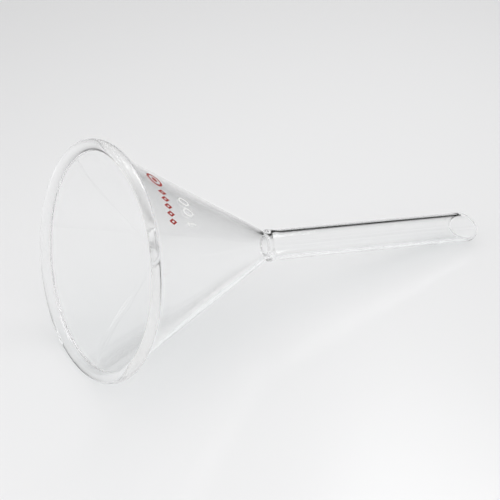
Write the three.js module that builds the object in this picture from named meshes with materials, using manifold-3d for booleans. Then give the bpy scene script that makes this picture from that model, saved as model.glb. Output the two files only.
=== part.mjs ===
// A plain laboratory filter funnel of clear borosilicate glass, lying on its side.
// It rests on the bead of its mouth and on the lower edge of its stem tip.
//
// Lengths are millimetres and +Z is up. The funnel is drawn along its own axis first: +X runs
// from the plane of the mouth (x = 0) to the stem tip, and "side" angles turn about that axis
// from straight up (0) towards -Y (a quarter turn). The last lines lay it down on z = 0.

import * as THREE from 'three';
import { mergeVertices } from 'three/addons/utils/BufferGeometryUtils.js';
import Module from 'manifold-3d';

const wasm = await Module();
wasm.setup();

// ---- driving dimensions ----
const mouthDiameter = 100;      // across the outside of the bead
const beadDiameter = 4.9;       // thickness of the rolled rim
const coneAngle = 55.9;         // full angle of the bowl, degrees
const bowlWall = 1.8;           // measured square to the glass
const stemDiameter = 13;
const stemWall = 1.5;
const stemLength = 102.5;       // from the bowl's outer corner to the middle of the tip
const bevelAngle = 58;          // between the ground tip face and the stem's axis, degrees

const beadSkirt = 6;            // wall that belongs to the bead, from the bead's centre
const sealOnBowl = 2.6;         // how far the melted joint reaches up the bowl
const sealOnStem = 6.5;         // and how far along the stem
const grooveFromCorner = 1.2;   // the joint is narrowest here, a little down the stem
const grooveDepth = 1.1;        // below the stem's face
const flareFromCorner = 2.7;    // then the stem's end stands out
const flareHeight = 0.4;        // above the stem's face
const chokeDepth = 0.5;         // how far glass closes in on the bore under the groove
const jointGap = 0.3;           // between pieces that are drawn apart

const enamelLift = 0.15;        // enamel stands this far off the faceted bowl
const enamelThickness = 0.3;
const digitHeight = 6.4;
const digitWidth = 4;
const digitPitch = 5.3;
const digitStroke = 0.7;
const flagReach = 1.3;          // of the numeral 1, to the left of its middle
const digitsFromBead = 30.2;    // down the wall, to the middle of the numerals
const digitsSide = 27;          // degrees from the top line to the middle numeral
const lozengeHeight = 5.6;
const lozengeWidth = 2.8;
const lozengePitch = 3.5;
const lozengeCount = 5;
const lozengeStroke = 0.8;
const redFromBead = 16.6;
const redSide = 27;             // degrees from the top line to the middle lozenge
const ringDiameter = 8;
const ringStroke = 1.1;
const ringGap = 2.2;            // between the last lozenge and the ring
const dotDiameter = 2.8;

const roundSides = 72;          // facets round the axis; one of them faces straight down
const beadSides = 16;
const throatSteps = 6;          // to each curve of the joint
const ovalSides = 28;
const longestSide = 1.2;        // of an enamel outline, so that it bends round the bowl

// ---- what follows from them ----
const degree = Math.PI / 180;
const halfCone = coneAngle / 2 * degree;
const beadRadius = beadDiameter / 2;
const beadCircle = mouthDiameter / 2 - beadRadius;   // radius of the bead's centre line
const stemRadius = stemDiameter / 2;
const boreRadius = stemRadius - stemWall;

// The wall is drawn by u, the distance down its outer face from the bead's centre, and by
// depth, the distance into the glass from that face (negative outside it).
function onWall(u, depth) {
  const along = beadRadius + u * Math.cos(halfCone) - depth * Math.sin(halfCone);
  const radius = beadCircle - u * Math.sin(halfCone) - depth * Math.cos(halfCone);
  return new THREE.Vector2(radius, along);
}

const wallLength = (beadCircle - stemRadius) / Math.sin(halfCone);
const cornerX = onWall(wallLength, 0).y;             // where bowl and stem would meet sharply
const sealStart = wallLength - sealOnBowl;
const sealEndX = cornerX + sealOnStem;
const tipX = cornerX + stemLength;
const bevelSlope = 1 / Math.tan(bevelAngle * degree);

// ---- materials, one for each node ----
function glass() {
  const look = { color: 0xe9f2f1, roughness: 0.03, metalness: 0, transparent: true, opacity: 0.35 };
  return new THREE.MeshStandardMaterial(look);
}

function paleEnamel() {
  return new THREE.MeshStandardMaterial({ color: 0xf3f2ee, roughness: 0.5, metalness: 0 });
}

function redEnamel() {
  return new THREE.MeshStandardMaterial({ color: 0xa52a24, roughness: 0.45, metalness: 0 });
}

function named(name, geometry, material) {
  const mesh = new THREE.Mesh(geometry, material);
  mesh.name = name;
  return mesh;
}

// ---- round glass pieces ----
// A closed outline of (radius, along) points, taken anticlockwise so that faces point out,
// turned about the axis with one facet square to straight down, then laid along +X.
function turned(outline) {
  const ordered = THREE.ShapeUtils.isClockWise(outline) ? [...outline].reverse() : outline;
  const closed = [...ordered, ordered[0].clone()];
  const geometry = new THREE.LatheGeometry(closed, roundSides, Math.PI / roundSides);
  geometry.rotateZ(-Math.PI / 2);
  return geometry;
}

// A cubic from one point and slope to another, as (radius, along) points. The slopes are
// radius gained for each millimetre along.
function easedCurve(from, fromSlope, to, toSlope) {
  const span = to.y - from.y;
  const points = [];
  for (let step = 0; step <= throatSteps; step += 1) {
    const t = step / throatSteps;
    const early = (1 + 2 * t) * (1 - t) ** 2;
    const late = t * t * (3 - 2 * t);
    const leaving = t * (1 - t) ** 2 * span * fromSlope;
    const arriving = t * t * (t - 1) * span * toSlope;
    const radius = early * from.x + late * to.x + leaving + arriving;
    points.push(new THREE.Vector2(radius, from.y + t * span));
  }
  return points;
}

// A corner of the bead's polygon, whose flats touch the round bead. The angle turns from +X,
// down the stem, towards the outside.
function beadCorner(angle) {
  const corner = beadRadius / Math.cos(Math.PI / beadSides);
  return new THREE.Vector2(
    beadCircle + corner * Math.sin(angle), beadRadius + corner * Math.cos(angle));
}

// The bead: a rolled edge round the centre line of the wall's outer face, with the short
// stretch of wall that runs into it. Its polygon has a flat land in the plane of the mouth.
function rimBead() {
  const outerMeets = -halfCone;
  const innerMeets = 2 * Math.PI - halfCone - Math.asin(Math.min(1, bowlWall / beadRadius));
  const clearOfWall = 0.4 * Math.PI / beadSides;
  const arc = [];
  for (let side = -beadSides; side < beadSides; side += 1) {
    const angle = (2 * side + 1) * Math.PI / beadSides;
    if (angle > outerMeets + clearOfWall && angle < innerMeets - clearOfWall) {
      arc.push(beadCorner(angle));
    }
  }
  const innerExit = Math.sqrt(Math.max(0, beadRadius ** 2 - bowlWall ** 2));
  return turned([
    onWall(beadSkirt, 0),
    onWall(beadRadius, 0),
    ...arc,
    onWall(innerExit, bowlWall),
    onWall(beadSkirt, bowlWall)
  ]);
}

function bowl() {
  const top = beadSkirt + jointGap;
  const bottom = sealStart - jointGap;
  return turned([
    onWall(bottom, 0),
    onWall(top, 0),
    onWall(top, bowlWall),
    onWall(bottom, bowlWall)
  ]);
}

// The melted joint of bowl and stem: outside it dips to a groove and stands out again where
// the stem's end was worked on; inside it closes in a little under the groove.
function throatSeal() {
  const wallSlope = -Math.tan(halfCone);
  const groove = new THREE.Vector2(stemRadius - grooveDepth, cornerX + grooveFromCorner);
  const flare = new THREE.Vector2(stemRadius + flareHeight, cornerX + flareFromCorner);
  const choke = new THREE.Vector2(boreRadius - chokeDepth, cornerX + grooveFromCorner);
  const outside = [
    ...easedCurve(onWall(sealStart, 0), wallSlope, groove, 0),
    ...easedCurve(groove, 0, flare, 0).slice(1),
    ...easedCurve(flare, 0, new THREE.Vector2(stemRadius, sealEndX), 0).slice(1)
  ];
  const inside = [
    ...easedCurve(onWall(sealStart, bowlWall), wallSlope, choke, 0),
    ...easedCurve(choke, 0, new THREE.Vector2(boreRadius, sealEndX), 0).slice(1)
  ];
  return turned([...outside.reverse(), ...inside]);
}

// ---- the stem, cut at its tip ----
function solid(geometry) {
  const bare = geometry.clone();
  for (const name of ['normal', 'uv']) bare.deleteAttribute(name);
  const merged = mergeVertices(bare);
  return new wasm.Manifold(new wasm.Mesh({
    numProp: 3,
    vertProperties: new Float32Array(merged.attributes.position.array),
    triVerts: new Uint32Array(merged.index.array)
  }));
}

function geometryOf(manifold) {
  const mesh = manifold.getMesh();
  const geometry = new THREE.BufferGeometry();
  geometry.setAttribute('position', new THREE.BufferAttribute(mesh.vertProperties, 3));
  geometry.setIndex(new THREE.BufferAttribute(mesh.triVerts, 1));
  return geometry;
}

// The tube runs past its tip and a block takes off what is beyond the ground face, which
// leaves the -Y side longer.
function stem() {
  const start = sealEndX + jointGap;
  const longest = tipX + bevelSlope * stemDiameter;
  const tube = turned([
    new THREE.Vector2(stemRadius, longest),
    new THREE.Vector2(stemRadius, start),
    new THREE.Vector2(boreRadius, start),
    new THREE.Vector2(boreRadius, longest)
  ]);
  const blockSize = 8 * stemDiameter;
  const block = new THREE.BoxGeometry(blockSize, blockSize, blockSize);
  block.translate(blockSize / 2, 0, 0);
  block.rotateZ(Math.PI / 2 - bevelAngle * degree);
  block.translate(tipX, 0, 0);
  return geometryOf(solid(tube).subtract(solid(block)));
}

// ---- enamel, laid on the bowl's outer face ----
// Outlines are drawn flat, x along the reading direction and y towards the mouth, with long
// sides split so that they bend round the bowl. The red mark is a row of lozenges, then a ring
// round a dot.
function splitSides(points) {
  const split = [];
  points.forEach((point, index) => {
    const next = points[(index + 1) % points.length];
    const pieces = Math.max(1, Math.ceil(point.distanceTo(next) / longestSide));
    for (let piece = 0; piece < pieces; piece += 1) {
      split.push(point.clone().lerp(next, piece / pieces));
    }
  });
  return split;
}

function oval(width, height) {
  const points = [];
  for (let side = 0; side < ovalSides; side += 1) {
    const angle = side / ovalSides * 2 * Math.PI;
    points.push(new THREE.Vector2(width / 2 * Math.cos(angle), height / 2 * Math.sin(angle)));
  }
  return points;
}

// Wraps a flat shape round the bowl: shift moves it along the reading direction.
function onBowl(shape, fromBead, side, shift) {
  const geometry = new THREE.ExtrudeGeometry(shape, { depth: enamelThickness, bevelEnabled: false });
  const roundRadius = onWall(fromBead, 0).x;
  const places = geometry.attributes.position;
  for (let index = 0; index < places.count; index += 1) {
    const reading = places.getX(index) + shift;
    const height = enamelLift + places.getZ(index);
    const onFace = onWall(fromBead - places.getY(index), -height);
    const angle = side * degree - reading / roundRadius;
    places.setXYZ(index, onFace.y, -onFace.x * Math.sin(angle), onFace.x * Math.cos(angle));
  }
  geometry.computeVertexNormals();
  return geometry;
}

function digitZero() {
  const shape = new THREE.Shape(oval(digitWidth, digitHeight));
  const inside = oval(digitWidth - 2 * digitStroke, digitHeight - 2 * digitStroke);
  shape.holes.push(new THREE.Path(inside.reverse()));
  return shape;
}

function digitOne() {
  const half = digitStroke / 2;
  const top = digitHeight / 2;
  return new THREE.Shape(splitSides([
    new THREE.Vector2(-half, -top),
    new THREE.Vector2(half, -top),
    new THREE.Vector2(half, top),
    new THREE.Vector2(-half, top),
    new THREE.Vector2(-flagReach, top - flagReach),
    new THREE.Vector2(-flagReach, top - flagReach - digitStroke),
    new THREE.Vector2(-half, top - flagReach)
  ]));
}

function lozenge() {
  const diamond = (width, height) => splitSides([
    new THREE.Vector2(width / 2, 0),
    new THREE.Vector2(0, height / 2),
    new THREE.Vector2(-width / 2, 0),
    new THREE.Vector2(0, -height / 2)
  ]);
  const slant = Math.hypot(lozengeWidth, lozengeHeight);
  const insideWidth = lozengeWidth - 2 * lozengeStroke * slant / lozengeHeight;
  const insideHeight = insideWidth * lozengeHeight / lozengeWidth;
  const shape = new THREE.Shape(diamond(lozengeWidth, lozengeHeight));
  shape.holes.push(new THREE.Path(diamond(insideWidth, insideHeight).reverse()));
  return shape;
}

function ring() {
  const shape = new THREE.Shape(oval(ringDiameter, ringDiameter));
  const hole = ringDiameter - 2 * ringStroke;
  shape.holes.push(new THREE.Path(oval(hole, hole).reverse()));
  return shape;
}

function dot() {
  return new THREE.Shape(oval(dotDiameter, dotDiameter));
}

const lastLozenge = (lozengeCount - 1) / 2 * lozengePitch;
const ringShift = lastLozenge + lozengeWidth / 2 + ringGap + ringDiameter / 2;

// ---- the funnel along its own axis ----
const funnel = new THREE.Group();
funnel.add(
  named('rim_bead', rimBead(), glass()),
  named('bowl', bowl(), glass()),
  named('throat_seal', throatSeal(), glass()),
  named('stem', stem(), glass()),
  named('digit_one', onBowl(digitOne(), digitsFromBead, digitsSide, -digitPitch), paleEnamel()),
  named('digit_zero_middle', onBowl(digitZero(), digitsFromBead, digitsSide, 0), paleEnamel()),
  named('digit_zero_last', onBowl(digitZero(), digitsFromBead, digitsSide, digitPitch), paleEnamel()),
  named('red_ring', onBowl(ring(), redFromBead, redSide, ringShift), redEnamel()),
  named('red_dot', onBowl(dot(), redFromBead, redSide, ringShift), redEnamel())
);
for (let index = 0; index < lozengeCount; index += 1) {
  const shift = index * lozengePitch - lastLozenge;
  funnel.add(named(`red_lozenge_${index + 1}`, onBowl(lozenge(), redFromBead, redSide, shift),
    redEnamel()));
}

// ---- laid down on z = 0 ----
// The tilt brings the bead's lowest corner and the tip's lowest corner to one level: it is the
// steepest of the lines from the tip's corner to the corners of the bead's outline.
function restingTilt() {
  const flat = Math.cos(Math.PI / roundSides);
  const tipRadius = stemRadius * flat;
  const tipAlong = tipX + bevelSlope * stemRadius * Math.sin(Math.PI / roundSides);
  let tilt = 0;
  for (let side = 0; side < beadSides; side += 1) {
    const corner = beadCorner((2 * side + 1) * Math.PI / beadSides);
    tilt = Math.max(tilt, Math.atan2(corner.x * flat - tipRadius, tipAlong - corner.y));
  }
  return tilt;
}

funnel.rotation.y = restingTilt();
const part = new THREE.Group();
part.add(funnel);
part.updateMatrixWorld(true);
const box = new THREE.Box3().setFromObject(part, true);
funnel.position.set(-(box.min.x + box.max.x) / 2, -(box.min.y + box.max.y) / 2, -box.min.z);

export default part;
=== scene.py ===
# A clear glass filter funnel lying on a pale glossy table: one closed glass shell, the enamel
# marks fired on it, the table, the light and the camera. Metres, in the frame of the CAD part.

import bpy
import numpy as np
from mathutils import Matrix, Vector


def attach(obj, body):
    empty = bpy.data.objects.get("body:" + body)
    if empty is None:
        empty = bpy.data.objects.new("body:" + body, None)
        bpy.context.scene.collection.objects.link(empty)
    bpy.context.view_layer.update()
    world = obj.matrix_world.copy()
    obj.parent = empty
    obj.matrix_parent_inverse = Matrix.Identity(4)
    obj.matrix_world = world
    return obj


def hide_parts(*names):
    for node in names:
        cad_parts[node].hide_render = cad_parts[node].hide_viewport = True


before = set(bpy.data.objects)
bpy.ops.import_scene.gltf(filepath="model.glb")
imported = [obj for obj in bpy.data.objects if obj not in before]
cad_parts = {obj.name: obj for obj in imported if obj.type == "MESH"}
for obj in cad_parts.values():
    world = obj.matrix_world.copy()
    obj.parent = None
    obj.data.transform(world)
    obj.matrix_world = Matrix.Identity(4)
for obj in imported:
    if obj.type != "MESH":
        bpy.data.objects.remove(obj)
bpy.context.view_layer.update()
scene = bpy.context.scene
millimetre = 0.001

# ---- camera ----
cameraSettings = {
    "azimuth": -28.526,
    "elevation": 35.960,
    "distance": 1.2,
    "aim": (-0.01331, 0.0, 0.03042),
    "lens": 206.49,
    "sensor": 36.0,
}


def towards(azimuth, elevation):
    # Unit vector (sin a cos e, -cos a cos e, sin e), for a and e in degrees.
    a, e = np.radians(azimuth), np.radians(elevation)
    return Vector((np.sin(a) * np.cos(e), -np.cos(a) * np.cos(e), np.sin(e)))


def addCamera(settings):
    data = bpy.data.cameras.new("studioCamera")
    data.lens = settings["lens"]
    data.sensor_width = settings["sensor"]
    data.clip_start, data.clip_end = 0.01, 50.0
    camera = bpy.data.objects.new("studioCamera", data)
    back = towards(settings["azimuth"], settings["elevation"])
    camera.location = Vector(settings["aim"]) + back * settings["distance"]
    camera.rotation_mode = "QUATERNION"
    camera.rotation_quaternion = (-back).to_track_quat("-Z", "Y")
    scene.collection.objects.link(camera)
    scene.camera = camera


addCamera(cameraSettings)
print("camera placed")

# ---- meshes from grids ----


def gridQuads(rows, columns, closeRows, closeColumns):
    # Corner numbers of the quads of a grid of rows by columns, with the last line joined back
    # to the first where it closes.
    r = np.arange(rows if closeRows else rows - 1)[:, None]
    c = np.arange(columns if closeColumns else columns - 1)[None, :]
    nextRow, nextColumn = (r + 1) % rows, (c + 1) % columns
    corners = [r * columns + c, r * columns + nextColumn,
               nextRow * columns + nextColumn, nextRow * columns + c]
    return np.stack(np.broadcast_arrays(*corners), -1).reshape(-1, 4)


def signedVolume(points, quads):
    # Sum over the faces of a . (b x c) / 6, each quad cut into two triangles.
    a, b, c, d = (points[quads[:, k]] for k in range(4))
    first = np.einsum("ij,ij->i", a, np.cross(b, c))
    second = np.einsum("ij,ij->i", a, np.cross(c, d))
    return float((first + second).sum() / 6)


def buildPiece(name, points, quads, material):
    # Turns points (n by 3, metres) and quads into one smooth object whose faces point outwards.
    if signedVolume(points, quads) < 0:
        quads = quads[:, ::-1]
    mesh = bpy.data.meshes.new(name)
    mesh.vertices.add(len(points))
    mesh.vertices.foreach_set("co", points.astype(np.float32).ravel())
    mesh.loops.add(quads.size)
    mesh.loops.foreach_set("vertex_index", quads.astype(np.int32).ravel())
    mesh.polygons.add(len(quads))
    mesh.polygons.foreach_set("loop_start", np.arange(0, quads.size, 4, dtype=np.int32))
    mesh.polygons.foreach_set("use_smooth", np.ones(len(quads), bool))
    mesh.update(calc_edges=True)
    mesh.validate()
    mesh.materials.append(material)
    piece = bpy.data.objects.new(name, mesh)
    scene.collection.objects.link(piece)
    return piece


# ---- the funnel's own frame ----
# along runs down the axis from the plane of the mouth, radius out from the axis, and angle turns
# about it from straight up towards -Y.
funnelSettings = {
    "mouthDiameter": 100.0,
    "beadDiameter": 4.9,
    "coneAngle": 55.9,
    "wall": 1.8,
    "stemDiameter": 13.0,
    "stemWall": 1.5,
    "stemLength": 102.5,
    "bevelAngle": 58.0,
    "sealOnBowl": 2.6,
    "sealOnStem": 6.5,
    "grooveFromCorner": 1.2,  # the joint's narrowest place
    "grooveDepth": 1.1,
    "flareFromCorner": 2.7,  # where the stem's worked end stands out
    "flareHeight": 0.4,
    "chokeDepth": 0.5,
    "tilt": 13.605824,  # degrees that the axis points down
    "mouthCentre": (-85.07150, 0.0, 49.27658),
    "softening": 0.33,  # how far fire polishing rounds an edge
    "bevelReach": 60.0,  # length of stem over which the grid leans towards the bevel
    "bevelLast": 2.0,  # and the last of it, which leans fully
    "wallDrift": 0.05,  # slow change of the bowl's thickness
    "driftFromBead": 8.0,  # lengths over which it fades in and out
    "driftFromThroat": 12.0,
    "lineSpacing": 0.04,  # of the outline before its points are dealt out
    "beadPoints": 160,
    "leastDensity": 0.25,  # of the outline's points, on a straight run
    "densityGain": 3.0,
    "turningLimit": 4.0,
    "smoothing": 12,  # neighbours on each side that the turning is averaged over
    "outlinePoints": 360,
    "roundPoints": 256,
}
halfCone = np.radians(funnelSettings["coneAngle"] / 2)
beadRadius = funnelSettings["beadDiameter"] / 2
beadCircle = funnelSettings["mouthDiameter"] / 2 - beadRadius
stemRadius = funnelSettings["stemDiameter"] / 2
boreRadius = stemRadius - funnelSettings["stemWall"]
wallLength = (beadCircle - stemRadius) / np.sin(halfCone)
cornerAlong = beadRadius + wallLength * np.cos(halfCone)
tipAlong = cornerAlong + funnelSettings["stemLength"]


def onWall(down, depth):
    # (along, radius) at a distance down the wall's outer face and a depth into the glass:
    # the bead's centre + down * (cos h, -sin h) - depth * (sin h, cos h), h half the cone angle.
    along = beadRadius + down * np.cos(halfCone) - depth * np.sin(halfCone)
    radius = beadCircle - down * np.sin(halfCone) - depth * np.cos(halfCone)
    return np.stack(np.broadcast_arrays(along, radius), -1)


def placed(along, radius, angle):
    # Metres in the part's frame: mouth centre + along * axis + radius * (cos a up' - sin a Y),
    # where axis and up' are X and Z turned down by the tilt.
    t = np.radians(funnelSettings["tilt"])
    out = radius * np.cos(angle)
    x = along * np.cos(t) + out * np.sin(t)
    y = -radius * np.sin(angle)
    z = -along * np.sin(t) + out * np.cos(t)
    points = np.stack(np.broadcast_arrays(x, y, z), -1)
    return (points + np.array(funnelSettings["mouthCentre"])) * millimetre


# ---- glass shell ----


def easedCurve(start, startSlope, end, endSlope, steps=60):
    # Cubic Hermite curve of radius against along, between two points with those slopes.
    t = np.linspace(0, 1, steps)
    span = end[0] - start[0]
    early, late = (1 + 2 * t) * (1 - t) ** 2, t * t * (3 - 2 * t)
    leaving, arriving = t * (1 - t) ** 2 * span * startSlope, t * t * (t - 1) * span * endSlope
    radius = early * start[1] + late * end[1] + leaving + arriving
    return np.stack([start[0] + t * span, radius], -1)


def evenly(line, spacing):
    # The same line with a point at every spacing of its length.
    steps = np.hypot(*np.diff(line, axis=0).T)
    length = np.concatenate([[0], np.cumsum(steps)])
    wanted = np.linspace(0, length[-1], int(length[-1] / spacing) + 1)
    return np.stack([np.interp(wanted, length, line[:, k]) for k in range(2)], -1)


def shellOutline(s):
    # Closed outline of the glass, from the tip up the outside, round the bead and back down the
    # inside. A Gaussian along its length rounds every edge, then points are dealt out by
    # curvature: density = least + gain * turning per millimetre, up to a limit.
    slope = -np.tan(halfCone)
    sealStart = wallLength - s["sealOnBowl"]
    sealEnd = cornerAlong + s["sealOnStem"]
    groove = (cornerAlong + s["grooveFromCorner"], stemRadius - s["grooveDepth"])
    flare = (cornerAlong + s["flareFromCorner"], stemRadius + s["flareHeight"])
    choke = (groove[0], boreRadius - s["chokeDepth"])
    outside = np.concatenate([
        easedCurve(onWall(sealStart, 0), slope, groove, 0),
        easedCurve(groove, 0, flare, 0)[1:],
        easedCurve(flare, 0, (sealEnd, stemRadius), 0)[1:]])
    inside = np.concatenate([
        easedCurve(onWall(sealStart, s["wall"]), slope, choke, 0),
        easedCurve(choke, 0, (sealEnd, boreRadius), 0)[1:]])
    innerMeets = 2 * np.pi - halfCone - np.arcsin(s["wall"] / beadRadius)
    turn = np.linspace(-halfCone, innerMeets, s["beadPoints"])
    bead = np.stack([beadRadius + beadRadius * np.cos(turn),
                     beadCircle + beadRadius * np.sin(turn)], -1)
    corners = np.concatenate([
        [[tipAlong, boreRadius], [tipAlong, stemRadius]], outside[::-1], bead, inside,
        [[tipAlong, boreRadius]]])
    spacing = s["lineSpacing"]
    line = evenly(corners, spacing)[:-1]
    frequency = np.fft.fftfreq(len(line), spacing)
    soften = np.exp(-2 * (np.pi * frequency * s["softening"]) ** 2)
    line = np.fft.ifft(np.fft.fft(line, axis=0) * soften[:, None], axis=0).real
    heading = np.unwrap(np.arctan2(*(np.roll(line, -1, 0) - line).T[::-1]))
    turning = np.abs(np.gradient(heading)) / spacing
    near = s["smoothing"]
    window = np.ones(2 * near + 1) / (2 * near + 1)
    turning = np.concatenate([turning[-near:], turning, turning[:near]])
    turning = np.convolve(turning, window, "valid")
    density = s["leastDensity"] + s["densityGain"] * np.minimum(turning, s["turningLimit"])
    share = np.concatenate([[0], np.cumsum(density)])
    wanted = np.linspace(0, share[-1], s["outlinePoints"] + 1)[:-1]
    place = np.interp(wanted, share, np.arange(len(line) + 1))
    looped = np.concatenate([line, line[:1]])
    return np.stack([np.interp(place, np.arange(len(looped)), looped[:, k]) for k in range(2)], -1)


def glassShell(s, material):
    # The outline turned about the axis: (along, radius) at every angle. Along grows by
    # radius * sin(angle) / tan(bevel) at the tip, fading to nothing up the stem. The bowl's
    # inner face moves by drift * (sin(2a + 0.07s) + sin(3a - 0.05s + 1) + sin(5a + 0.11s + 2)).
    outline = shellOutline(s)
    along, radius = outline[:, :1], outline[:, 1:]
    angle = np.linspace(0, 2 * np.pi, s["roundPoints"], endpoint=False)[None, :]
    leaning = s["bevelReach"] - s["bevelLast"]
    lean = np.clip((along - (tipAlong - s["bevelReach"])) / leaning, 0, 1)
    lean = lean * radius * np.sin(angle) / np.tan(np.radians(s["bevelAngle"]))
    wave = (np.sin(2 * angle + 0.07 * along) + np.sin(3 * angle - 0.05 * along + 1)
            + np.sin(5 * angle + 0.11 * along + 2))
    depth = -((along - beadRadius) * np.sin(halfCone) + (radius - beadCircle) * np.cos(halfCone))
    inner = np.clip(2 * depth / s["wall"] - 1, 0, 1)
    inBowl = np.clip((along - s["beadDiameter"]) / s["driftFromBead"], 0, 1)
    inBowl = inBowl * np.clip((cornerAlong - along) / s["driftFromThroat"], 0, 1)
    grid = placed(along + lean, radius + s["wallDrift"] * wave * inner * inBowl, angle)
    quads = gridQuads(len(outline), s["roundPoints"], True, True)
    return buildPiece("glassShell", grid.reshape(-1, 3), quads, material)


# ---- enamel marks ----
enamelSettings = {
    "lift": 0.01,  # clear of the glass
    "thickness": 0.07,
    "digitHeight": 6.4,
    "digitWidth": 4.0,
    "digitPitch": 5.3,
    "digitStroke": 0.7,
    "flagReach": 1.3,
    "digitsFromBead": 30.2,
    "digitsSide": 27.0,
    "lozengeHeight": 5.6,
    "lozengeWidth": 2.8,
    "lozengePitch": 3.5,
    "lozengeCount": 5,
    "lozengeStroke": 0.8,
    "redFromBead": 16.6,
    "redSide": 27.0,
    "ringDiameter": 8.0,
    "ringStroke": 1.1,
    "ringGap": 2.2,
    "dotDiameter": 2.8,
}


def section(steps=16):
    # Closed outline of a printed line: across from -1 to 1, height from 0 to 1, with a flat
    # foot and a rounded top edge.
    t = np.arange(steps) / steps * 2 * np.pi
    across = np.sign(np.cos(t)) * np.abs(np.cos(t)) ** 0.5
    height = 0.5 + 0.5 * np.sign(np.sin(t)) * np.abs(np.sin(t)) ** 0.7
    return across, height


def onCone(reading, upwards, height, fromBead, side):
    # A flat drawing wrapped round the cone: angle = side - reading / the cone's radius there,
    # with height square to the glass.
    e = enamelSettings
    wall = onWall(fromBead - upwards, -(e["lift"] + e["thickness"] * height))
    angle = np.radians(side) - reading / onWall(fromBead, 0)[1]
    return placed(wall[..., 0], wall[..., 1], angle)


def closedLine(name, outer, inner, shift, fromBead, side, material):
    # A line between two outlines: point = outer * (1 + across) / 2 + inner * (1 - across) / 2.
    across, height = section()
    share = (1 + across[None, :, None]) / 2
    flat = outer[:, None, :] * share + inner[:, None, :] * (1 - share)
    points = onCone(flat[..., 0] + shift, flat[..., 1], height[None, :], fromBead, side)
    quads = gridQuads(len(outer), len(across), True, True)
    return buildPiece(name, points.reshape(-1, 3), quads, material)


def oval(width, height, steps=72):
    # (width / 2 cos t, height / 2 sin t)
    t = np.arange(steps) / steps * 2 * np.pi
    return np.stack([width / 2 * np.cos(t), height / 2 * np.sin(t)], -1)


def diamond(width, height, steps=64):
    # |x| / (width / 2) + |y| / (height / 2) = 1, with even steps along each side.
    t = np.arange(steps) / steps * 4
    x = np.abs(t - 2) - 1
    y = 1 - np.abs(np.mod(t + 1, 4) - 2)
    return np.stack([x * width / 2, -y * height / 2], -1)


def openLine(name, path, stroke, shift, fromBead, side, material):
    # The section carried along a line: point = path + across * w * normal, where w falls off as
    # sqrt(1 - u^2) in the last half stroke at each end, so that both ends are round.
    across, height = section()
    line = evenly(path, 0.12)
    ends = stroke / 2
    steps = np.concatenate([[0], np.cumsum(np.hypot(*np.diff(line, axis=0).T))])
    fromEnd = np.minimum(steps, steps[-1] - steps)
    u = np.clip(1 - fromEnd / ends, 0, 1)
    width = ends * np.sqrt(np.maximum(1 - u * u, 1e-4))
    heading = np.gradient(line, axis=0)
    heading /= np.hypot(*heading.T)[:, None]
    normal = np.stack([-heading[:, 1], heading[:, 0]], -1)
    flat = line[:, None, :] + (width[:, None] * across[None, :])[..., None] * normal[:, None, :]
    points = onCone(flat[..., 0] + shift, flat[..., 1], height[None, :], fromBead, side)
    rows, columns = points.shape[:2]
    quads = gridQuads(rows, columns, False, True)
    half = columns // 2
    cap = np.arange(half - 1)
    pairs = np.stack([cap, cap + 1, (columns - 2 - cap), (columns - 1 - cap)], -1) % columns
    quads = np.concatenate([quads, pairs[:, ::-1], pairs + (rows - 1) * columns])
    return buildPiece(name, points.reshape(-1, 3), quads, material)


# ---- materials ----


def node(tree, kind, at, values=None, **properties):
    made = tree.nodes.new(kind)
    made.location = at
    for key, value in properties.items():
        setattr(made, key, value)
    for key, value in (values or {}).items():
        made.inputs[key].default_value = value
    return made


def surfaceWearGroup():
    # Two noises and a threshold: slow smears of handling, and fine dust. It puts out a
    # roughness, a height for a bump and a mask of dust.
    group = bpy.data.node_groups.new("surfaceWear", "ShaderNodeTree")
    for name, value in (("Scale", 60.0), ("Roughness Low", 0.0), ("Roughness High", 0.1)):
        socket = group.interface.new_socket(name, in_out="INPUT", socket_type="NodeSocketFloat")
        socket.default_value = value
    for name in ("Roughness", "Height", "Dust"):
        group.interface.new_socket(name, in_out="OUTPUT", socket_type="NodeSocketFloat")
    link = group.links.new
    entry = node(group, "NodeGroupInput", (-800, 0))
    leave = node(group, "NodeGroupOutput", (600, 0))
    place = node(group, "ShaderNodeTexCoord", (-800, 200))
    slow = node(group, "ShaderNodeTexNoise", (-500, 200), {"Detail": 3.0, "Roughness": 0.6})
    fine = node(group, "ShaderNodeMath", (-500, -80), operation="MULTIPLY")
    fine.inputs[1].default_value = 24.0
    speck = node(group, "ShaderNodeTexNoise", (-300, -80), {"Detail": 1.0})
    level = node(group, "ShaderNodeMapRange", (0, 200), {"From Min": 0.35, "From Max": 0.75})
    dust = node(group, "ShaderNodeMapRange", (0, -200), {"From Min": 0.7, "From Max": 0.8})
    link(place.outputs["Object"], slow.inputs["Vector"])
    link(place.outputs["Object"], speck.inputs["Vector"])
    link(entry.outputs["Scale"], slow.inputs["Scale"])
    link(entry.outputs["Scale"], fine.inputs[0])
    link(fine.outputs[0], speck.inputs["Scale"])
    link(slow.outputs["Fac"], level.inputs["Value"])
    link(entry.outputs["Roughness Low"], level.inputs["To Min"])
    link(entry.outputs["Roughness High"], level.inputs["To Max"])
    link(speck.outputs["Fac"], dust.inputs["Value"])
    link(level.outputs["Result"], leave.inputs["Roughness"])
    link(slow.outputs["Fac"], leave.inputs["Height"])
    link(dust.outputs["Result"], leave.inputs["Dust"])
    return group


wearGroup = surfaceWearGroup()


def emptyMaterial(name):
    material = bpy.data.materials.new(name)
    material.use_nodes = True
    material.node_tree.nodes.clear()
    return material, material.node_tree


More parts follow.
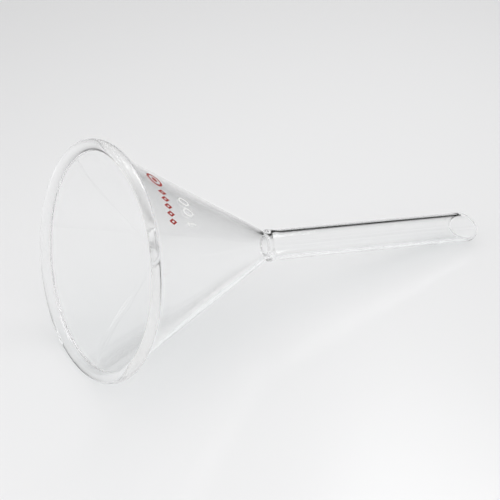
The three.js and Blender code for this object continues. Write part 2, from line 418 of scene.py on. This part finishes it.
def withWear(tree, principled, scale, low, high, strength, distance):
    # Joins the wear group to a shader's roughness and, by a bump, to its normal.
    wear = node(tree, "ShaderNodeGroup", (-500, -100), node_tree=wearGroup)
    wear.inputs["Scale"].default_value = scale
    wear.inputs["Roughness Low"].default_value = low
    wear.inputs["Roughness High"].default_value = high
    bump = node(tree, "ShaderNodeBump", (-250, -300), {"Strength": strength, "Distance": distance})
    tree.links.new(wear.outputs["Roughness"], principled.inputs["Roughness"])
    tree.links.new(wear.outputs["Height"], bump.inputs["Height"])
    tree.links.new(bump.outputs["Normal"], principled.inputs["Normal"])
    return wear


glassSettings = {
    "tint": (0.992, 0.996, 0.996, 1.0),
    "clear": (1.0, 1.0, 1.0, 1.0),
    "ior": 1.474,
    "shadowFacing": (0.985, 0.99, 0.99, 1.0),
    "shadowEdge": (0.45, 0.46, 0.47, 1.0),
    "edgePower": 3.0,  # how sharply the shadow darkens towards the glass's edge
}


def clearGlass(g):
    # Borosilicate glass. Light on its way to or from the table passes straight through it,
    # dimmed where it meets the glass at a slant.
    material, tree = emptyMaterial("clearGlass")
    link = tree.links.new
    glass = node(tree, "ShaderNodeBsdfPrincipled", (0, 200),
                 {"Metallic": 0.0, "Transmission Weight": 1.0, "IOR": g["ior"]})
    wear = withWear(tree, glass, 45.0, 0.0, 0.012, 0.02, 0.0002)
    colour = node(tree, "ShaderNodeMix", (-250, 300), data_type="RGBA")
    colour.inputs["A"].default_value = g["clear"]
    colour.inputs["B"].default_value = g["tint"]
    link(wear.outputs["Height"], colour.inputs["Factor"])
    link(colour.outputs["Result"], glass.inputs["Base Color"])
    weight = node(tree, "ShaderNodeLayerWeight", (-500, 600), {"Blend": 0.5})
    bend = node(tree, "ShaderNodeMath", (-380, 700), operation="POWER")
    bend.inputs[1].default_value = g["edgePower"]
    dim = node(tree, "ShaderNodeMix", (-250, 600), data_type="RGBA")
    dim.inputs["A"].default_value = g["shadowFacing"]
    dim.inputs["B"].default_value = g["shadowEdge"]
    through = node(tree, "ShaderNodeBsdfTransparent", (0, 600))
    path = node(tree, "ShaderNodeLightPath", (-250, 900))
    either = node(tree, "ShaderNodeMath", (0, 900), operation="MAXIMUM")
    mix = node(tree, "ShaderNodeMixShader", (250, 300))
    out = node(tree, "ShaderNodeOutputMaterial", (450, 300))
    link(weight.outputs["Facing"], bend.inputs[0])
    link(bend.outputs[0], dim.inputs["Factor"])
    link(dim.outputs["Result"], through.inputs["Color"])
    link(path.outputs["Is Shadow Ray"], either.inputs[0])
    link(path.outputs["Is Diffuse Ray"], either.inputs[1])
    link(either.outputs[0], mix.inputs["Fac"])
    link(glass.outputs[0], mix.inputs[1])
    link(through.outputs[0], mix.inputs[2])
    link(mix.outputs[0], out.inputs["Surface"])
    return material


def enamel(name, deep, light, low, high):
    # Fired enamel: a little pigment mottling, fine pits and a satin surface.
    material, tree = emptyMaterial(name)
    link = tree.links.new
    paint = node(tree, "ShaderNodeBsdfPrincipled", (0, 200), {"Metallic": 0.0, "IOR": 1.5})
    wear = withWear(tree, paint, 900.0, low, high, 0.25, 0.00003)
    colour = node(tree, "ShaderNodeMix", (-250, 300), data_type="RGBA")
    colour.inputs["A"].default_value = deep
    colour.inputs["B"].default_value = light
    out = node(tree, "ShaderNodeOutputMaterial", (450, 300))
    link(wear.outputs["Height"], colour.inputs["Factor"])
    link(colour.outputs["Result"], paint.inputs["Base Color"])
    link(paint.outputs[0], out.inputs["Surface"])
    return material


shellMaterial = clearGlass(glassSettings)
redEnamel = enamel("redEnamel", (0.30, 0.012, 0.008, 1), (0.42, 0.03, 0.02, 1), 0.35, 0.55)
paleEnamel = enamel("paleEnamel", (0.93, 0.93, 0.92, 1), (0.98, 0.98, 0.97, 1), 0.4, 0.6)
print("materials made")

# ---- pieces ----
shell = glassShell(funnelSettings, shellMaterial)
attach(shell, "root")
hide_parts("rim_bead", "bowl", "throat_seal", "stem")
print("glass shell:", len(shell.data.polygons), "quads")


def fired(piece, node):
    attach(piece, "root")
    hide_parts(node)


def numerals(e):
    at = (e["digitsFromBead"], e["digitsSide"], paleEnamel)
    top, half = e["digitHeight"] / 2, e["digitStroke"] / 2
    one = np.array([[0, half - top], [0, top - half],
                    [half - e["flagReach"], top - e["flagReach"]]])
    fired(openLine("digitOne", one, e["digitStroke"], -e["digitPitch"], *at),
          "digit_one")
    outer = oval(e["digitWidth"], e["digitHeight"])
    inner = oval(e["digitWidth"] - 2 * e["digitStroke"], e["digitHeight"] - 2 * e["digitStroke"])
    fired(closedLine("digitZeroMiddle", outer, inner, 0, *at), "digit_zero_middle")
    fired(closedLine("digitZeroLast", outer, inner, e["digitPitch"], *at),
          "digit_zero_last")


def redMark(e):
    at = (e["redFromBead"], e["redSide"], redEnamel)
    width, height, stroke = e["lozengeWidth"], e["lozengeHeight"], e["lozengeStroke"]
    inside = 1 - 2 * stroke * np.hypot(width, height) / (width * height)
    outer = diamond(width, height)
    last = (e["lozengeCount"] - 1) / 2 * e["lozengePitch"]
    for index in range(e["lozengeCount"]):
        shift = index * e["lozengePitch"] - last
        piece = closedLine(f"redLozenge{index + 1}", outer, outer * inside, shift, *at)
        fired(piece, f"red_lozenge_{index + 1}")
    shift = last + width / 2 + e["ringGap"] + e["ringDiameter"] / 2
    ring, hole = e["ringDiameter"], e["ringDiameter"] - 2 * e["ringStroke"]
    fired(closedLine("redRing", oval(ring, ring), oval(hole, hole), shift, *at),
          "red_ring")
    dot = oval(e["dotDiameter"], e["dotDiameter"], 48)
    fired(closedLine("redDot", dot, dot * 0.001, shift, *at), "red_dot")


numerals(enamelSettings)
redMark(enamelSettings)
print("enamel marks made")

# ---- table ----
tableSettings = {
    "reach": 6.0,
    "below": 0.00002,
    "colour": (0.8, 0.8, 0.805, 1.0),
    # painted shade: the table's colour where the glass sees its unlit far side
    "paintedFarShade": (0.15, 0.15, 0.15, 1.0),  # the unlit far side, as the glass meets it
    "farAzimuth": 151.5,
    "farStart": 0.3,
    "farEnd": 0.6,
}


def tableMaterial(t):
    # Painted shade: darker towards the far side by a smooth step of place . (sin a, -cos a, 0),
    # except where a camera meets it straight on; it stands in for the unlit far side as glass sees
    # it.
    material, tree = emptyMaterial("paleTable")
    link = tree.links.new
    top = node(tree, "ShaderNodeBsdfPrincipled", (0, 200), {"Metallic": 0.0, "IOR": 1.45})
    withWear(tree, top, 8.0, 0.22, 0.28, 0.0, 0.001)
    place = node(tree, "ShaderNodeTexCoord", (-900, 300))
    ahead = node(tree, "ShaderNodeVectorMath", (-700, 300), operation="DOT_PRODUCT")
    ahead.inputs[1].default_value = towards(t["farAzimuth"], 0)
    far = node(tree, "ShaderNodeMapRange", (-500, 300),
               {"From Min": t["farStart"], "From Max": t["farEnd"]},
               interpolation_type="SMOOTHSTEP")
    path = node(tree, "ShaderNodeLightPath", (-700, 600))
    indirect = node(tree, "ShaderNodeMath", (-500, 600), operation="SUBTRACT")
    indirect.inputs[0].default_value = 1.0
    share = node(tree, "ShaderNodeMath", (-350, 400), operation="MULTIPLY")
    # the painted shade of the far side is mixed into the table's base colour here
    colour = node(tree, "ShaderNodeMix", (-200, 300), data_type="RGBA")
    colour.inputs["A"].default_value = t["colour"]
    colour.inputs["B"].default_value = t["paintedFarShade"]
    link(place.outputs["Object"], ahead.inputs[0])
    link(ahead.outputs["Value"], far.inputs["Value"])
    link(path.outputs["Is Camera Ray"], indirect.inputs[1])
    link(far.outputs["Result"], share.inputs[0])
    link(indirect.outputs[0], share.inputs[1])
    link(share.outputs[0], colour.inputs["Factor"])
    link(colour.outputs["Result"], top.inputs["Base Color"])
    out = node(tree, "ShaderNodeOutputMaterial", (300, 200))
    link(top.outputs[0], out.inputs["Surface"])
    return material


def table(t):
    # A square just under the lowest point of the glass.
    count = len(shell.data.vertices)
    places = np.zeros(count * 3, np.float32)
    shell.data.vertices.foreach_get("co", places)
    level = float(places[2::3].min()) - t["below"]
    r = t["reach"]
    mesh = bpy.data.meshes.new("paleTable")
    mesh.from_pydata([(-r, -r, level), (r, -r, level), (r, r, level), (-r, r, level)], [],
                     [(0, 1, 2, 3)])
    mesh.materials.append(tableMaterial(t))
    made = bpy.data.objects.new("paleTable", mesh)
    scene.collection.objects.link(made)
    return level


level = table(tableSettings)
print("table at", round(level * 1000, 3), "mm")

# ---- light ----
lightSettings = {
    "keyLight": {"azimuth": 123, "elevation": 58, "distance": 0.41, "size": 0.19, "power": 0.37,
                 "inGlass": True},
    "fillLight": {"azimuth": -62, "elevation": 62, "distance": 0.43, "size": 0.64, "power": 1.42,
                  "inGlass": False},
}
surroundSettings = {
    "base": 0.79,
    "onTable": 0.74,  # share of it that lights the table
    "seen": 0.64,  # how the room looks where a camera meets it straight on
    "softAzimuth": 12.0,
    "softElevation": 6.0,
    # what takes light away: centre and half width round, lowest and highest, and how much
    "flags": {
        "darkRoom": {"azimuth": 151.5, "half": 58, "low": -20, "high": 28, "depth": 0.99},
        "upperRoom": {"azimuth": 151.5, "half": 50, "low": 24, "high": 42, "depth": 0.5},
        "leftFlag": {"azimuth": -148.5, "half": 28, "low": 18, "high": 40, "depth": 0.7},
        "rightFlag": {"azimuth": 91.5, "half": 26, "low": 42, "high": 60, "depth": 0.5},
        "backFlag": {"azimuth": 31.5, "half": 26, "low": 8, "high": 22, "depth": 0.5},
    },
}


def areaLight(name, s):
    data = bpy.data.lights.new(name, "AREA")
    data.shape = "SQUARE"
    data.size, data.energy = s["size"], s["power"]
    light = bpy.data.objects.new(name, data)
    back = towards(s["azimuth"], s["elevation"])
    light.location = back * s["distance"]
    light.rotation_mode = "QUATERNION"
    light.rotation_quaternion = (-back).to_track_quat("-Z", "Y")
    light.visible_glossy = light.visible_transmission = s["inGlass"]
    scene.collection.objects.link(light)


def ramp(tree, source, low, high):
    # A smooth step of source from 0 at low to 1 at high.
    made = node(tree, "ShaderNodeMapRange", (0, 0), {"From Min": low, "From Max": high},
                interpolation_type="SMOOTHSTEP")
    tree.links.new(source, made.inputs["Value"])
    return made.outputs["Result"]


def product(tree, a, b):
    made = node(tree, "ShaderNodeMath", (0, 0), operation="MULTIPLY")
    tree.links.new(a, made.inputs[0])
    if isinstance(b, float):
        made.inputs[1].default_value = b
    else:
        tree.links.new(b, made.inputs[1])
    return made.outputs[0]


def studioSurround(s):
    # Brightness by direction: base * product over the flags of
    # (1 - depth * step in azimuth * step up past low * step down past high).
    world = bpy.data.worlds.new("studio")
    world.use_nodes = True
    tree = world.node_tree
    tree.nodes.clear()
    link = tree.links.new
    direction = node(tree, "ShaderNodeTexCoord", (-900, 0)).outputs["Generated"]
    split = node(tree, "ShaderNodeSeparateXYZ", (-700, 200))
    link(direction, split.inputs[0])
    flat = node(tree, "ShaderNodeVectorMath", (-700, 0), operation="MULTIPLY")
    flat.inputs[1].default_value = (1, 1, 0)
    link(direction, flat.inputs[0])
    level = node(tree, "ShaderNodeVectorMath", (-500, 0), operation="NORMALIZE")
    link(flat.outputs[0], level.inputs[0])
    height = split.outputs["Z"]
    left = None
    for flag in s["flags"].values():
        across = node(tree, "ShaderNodeVectorMath", (-300, 0), operation="DOT_PRODUCT")
        across.inputs[1].default_value = towards(flag["azimuth"], 0)
        link(level.outputs[0], across.inputs[0])
        wide, soft = flag["half"], s["softAzimuth"]
        mask = ramp(tree, across.outputs["Value"],
                    float(np.cos(np.radians(wide + soft))), float(np.cos(np.radians(wide - soft))))
        edges = np.sin(np.radians([flag["low"], flag["low"] + s["softElevation"],
                                   flag["high"], flag["high"] - s["softElevation"]]))
        above = ramp(tree, height, float(edges[0]), float(edges[1]))
        below = ramp(tree, height, float(edges[2]), float(edges[3]))
        taken = product(tree, product(tree, mask, above), product(tree, below, flag["depth"]))
        rest = node(tree, "ShaderNodeMath", (0, 0), operation="SUBTRACT")
        rest.inputs[0].default_value = 1.0
        link(taken, rest.inputs[1])
        left = rest.outputs[0] if left is None else product(tree, left, rest.outputs[0])
    path = node(tree, "ShaderNodeLightPath", (300, 300))
    share = node(tree, "ShaderNodeMapRange", (300, 0),
                 {"To Min": s["base"], "To Max": s["base"] * s["onTable"]})
    link(path.outputs["Is Diffuse Ray"], share.inputs["Value"])
    bright = product(tree, left, share.outputs["Result"])
    shown = node(tree, "ShaderNodeMix", (500, 0), data_type="FLOAT")
    shown.inputs["B"].default_value = s["seen"]
    link(path.outputs["Is Camera Ray"], shown.inputs["Factor"])
    link(bright, shown.inputs["A"])
    glow = node(tree, "ShaderNodeBackground", (700, 0), {"Color": (1, 1, 1, 1)})
    out = node(tree, "ShaderNodeOutputWorld", (900, 0))
    link(shown.outputs["Result"], glow.inputs["Strength"])
    link(glow.outputs[0], out.inputs["Surface"])
    scene.world = world


for name, settings in lightSettings.items():
    areaLight(name, settings)
studioSurround(surroundSettings)
scene.view_settings.view_transform = "Standard"
scene.cycles.use_denoising = True
bounces = 128  # light that runs down inside the wall needs many before it gets out
scene.cycles.max_bounces = bounces
scene.cycles.transmission_bounces = bounces
scene.cycles.glossy_bounces = bounces
scene.cycles.transparent_max_bounces = bounces
print("light and surroundings set")
